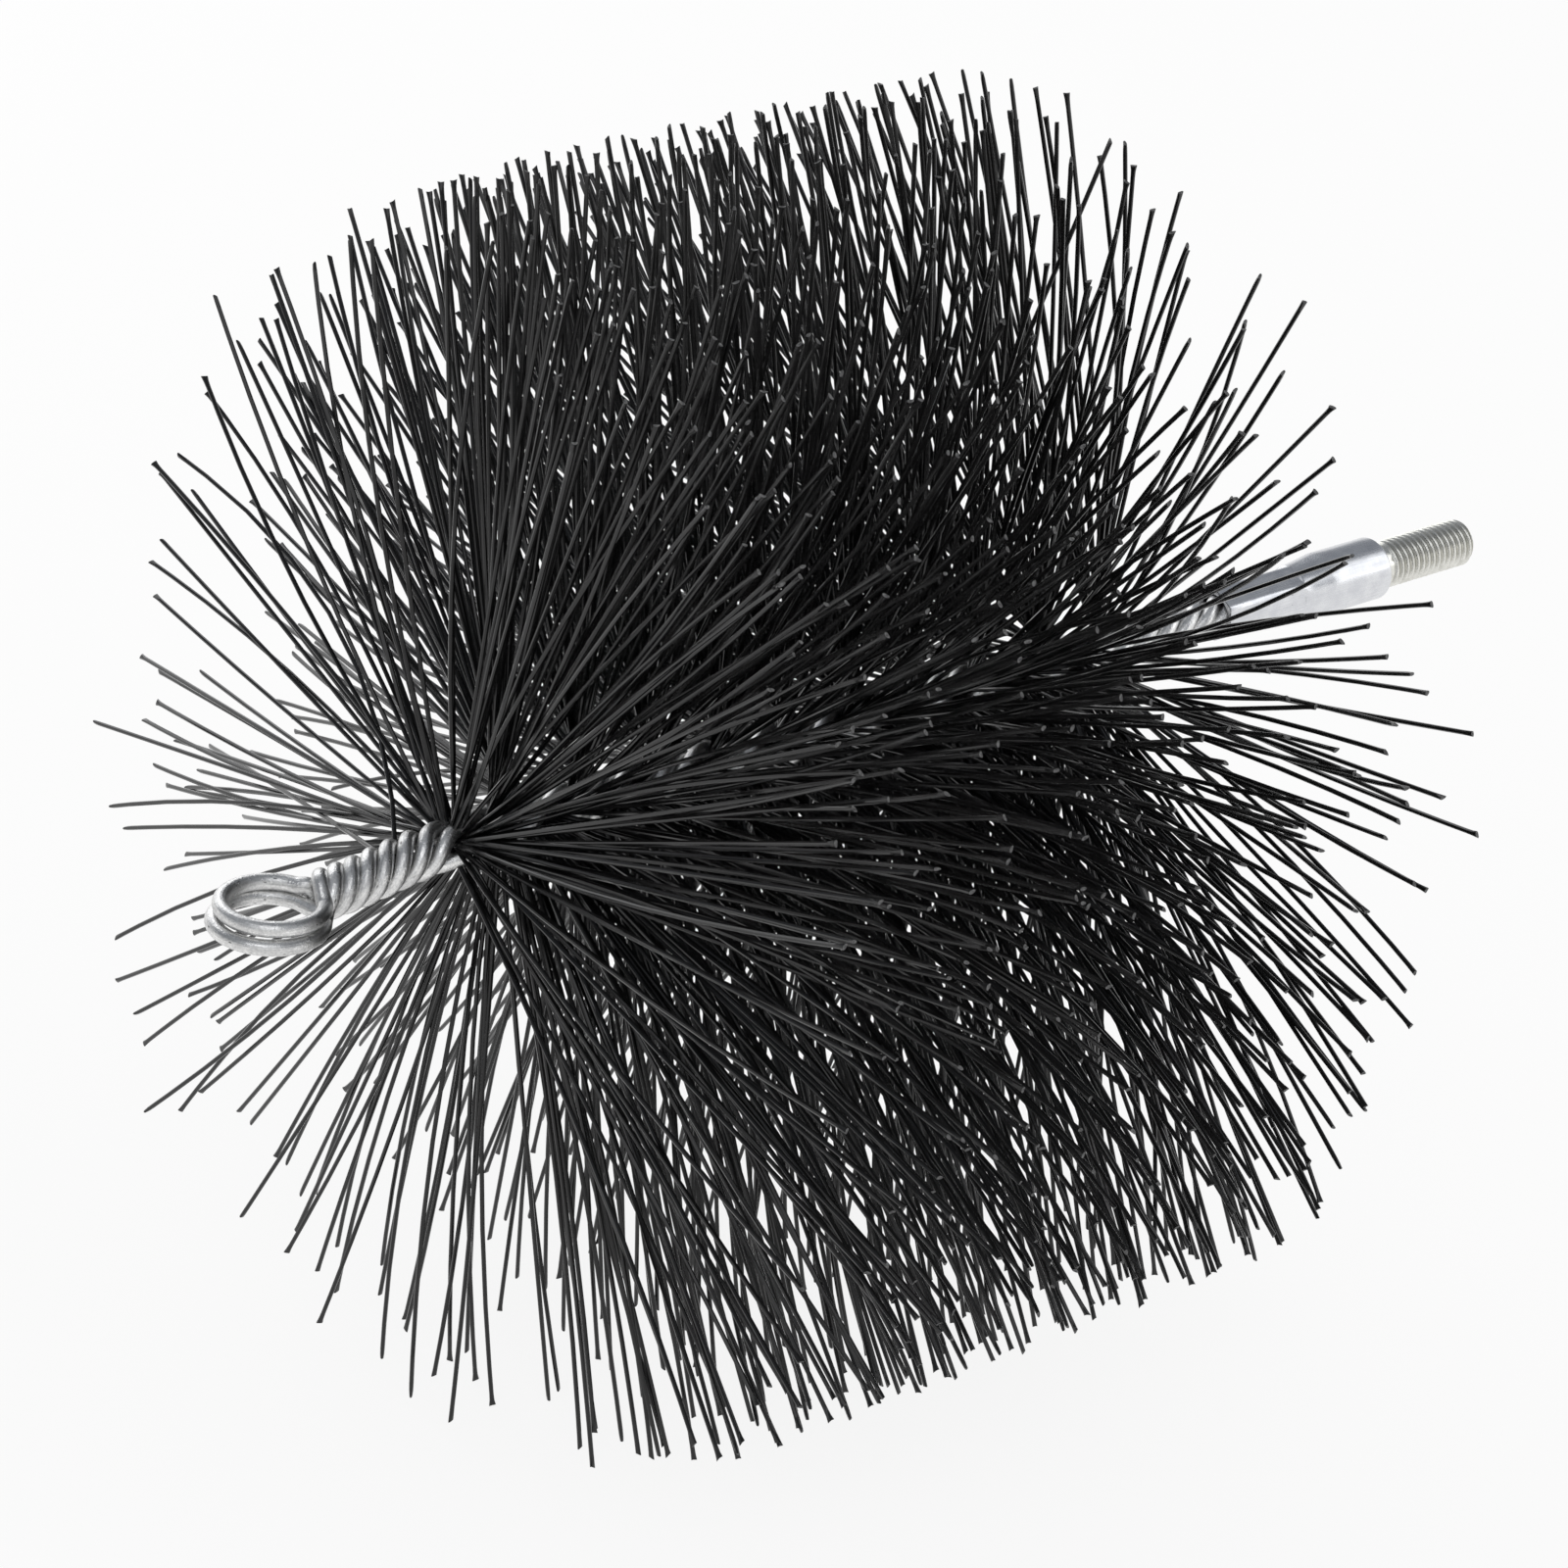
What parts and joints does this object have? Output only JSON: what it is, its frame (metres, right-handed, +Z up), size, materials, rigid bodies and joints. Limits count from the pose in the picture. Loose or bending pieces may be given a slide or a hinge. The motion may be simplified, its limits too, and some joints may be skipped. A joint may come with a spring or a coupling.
{
  "type": "chimney sweep brush",
  "caption": "Round chimney brush head: black plastic bristles held in a twisted wire stem with an eye at one end, and a crimped ferrule with a threaded stud at the other.",
  "frame": {"origin": "centre of the bottom of the whole brush's box, on the surface that the bristle tips lie on", "axes": "+X along the stem, from the eye to the threaded stud; +Z up; the brush lies on its side"},
  "size_m": [0.3013, 0.2401, 0.2396],
  "materials": {
    "wire": "drawn galvanised steel wire, dull grey with a soft sheen",
    "ferrule": "bright turned aluminium, pressed flats with die marks",
    "stud": "zinc-plated steel, slightly yellow",
    "bristle": "black plastic monofilament with a mild sheen"
  },
  "bodies": {
    "root": {"wire_a": "wire", "wire_b": "wire", "ferrule": "ferrule", "threaded_stud": "stud", "bristle_tuft_01": "bristle", "bristle_tuft_02": "bristle", "bristle_tuft_03": "bristle", "bristle_tuft_04": "bristle", "bristle_tuft_05": "bristle", "bristle_tuft_06": "bristle", "bristle_tuft_07": "bristle", "bristle_tuft_08": "bristle", "bristle_tuft_09": "bristle", "bristle_tuft_10": "bristle", "bristle_tuft_11": "bristle", "bristle_tuft_12": "bristle", "bristle_tuft_13": "bristle", "bristle_tuft_14": "bristle", "bristle_tuft_15": "bristle", "bristle_tuft_16": "bristle", "bristle_tuft_17": "bristle", "bristle_tuft_18": "bristle", "bristle_tuft_19": "bristle", "bristle_tuft_20": "bristle"}
  },
  "joints": []
}
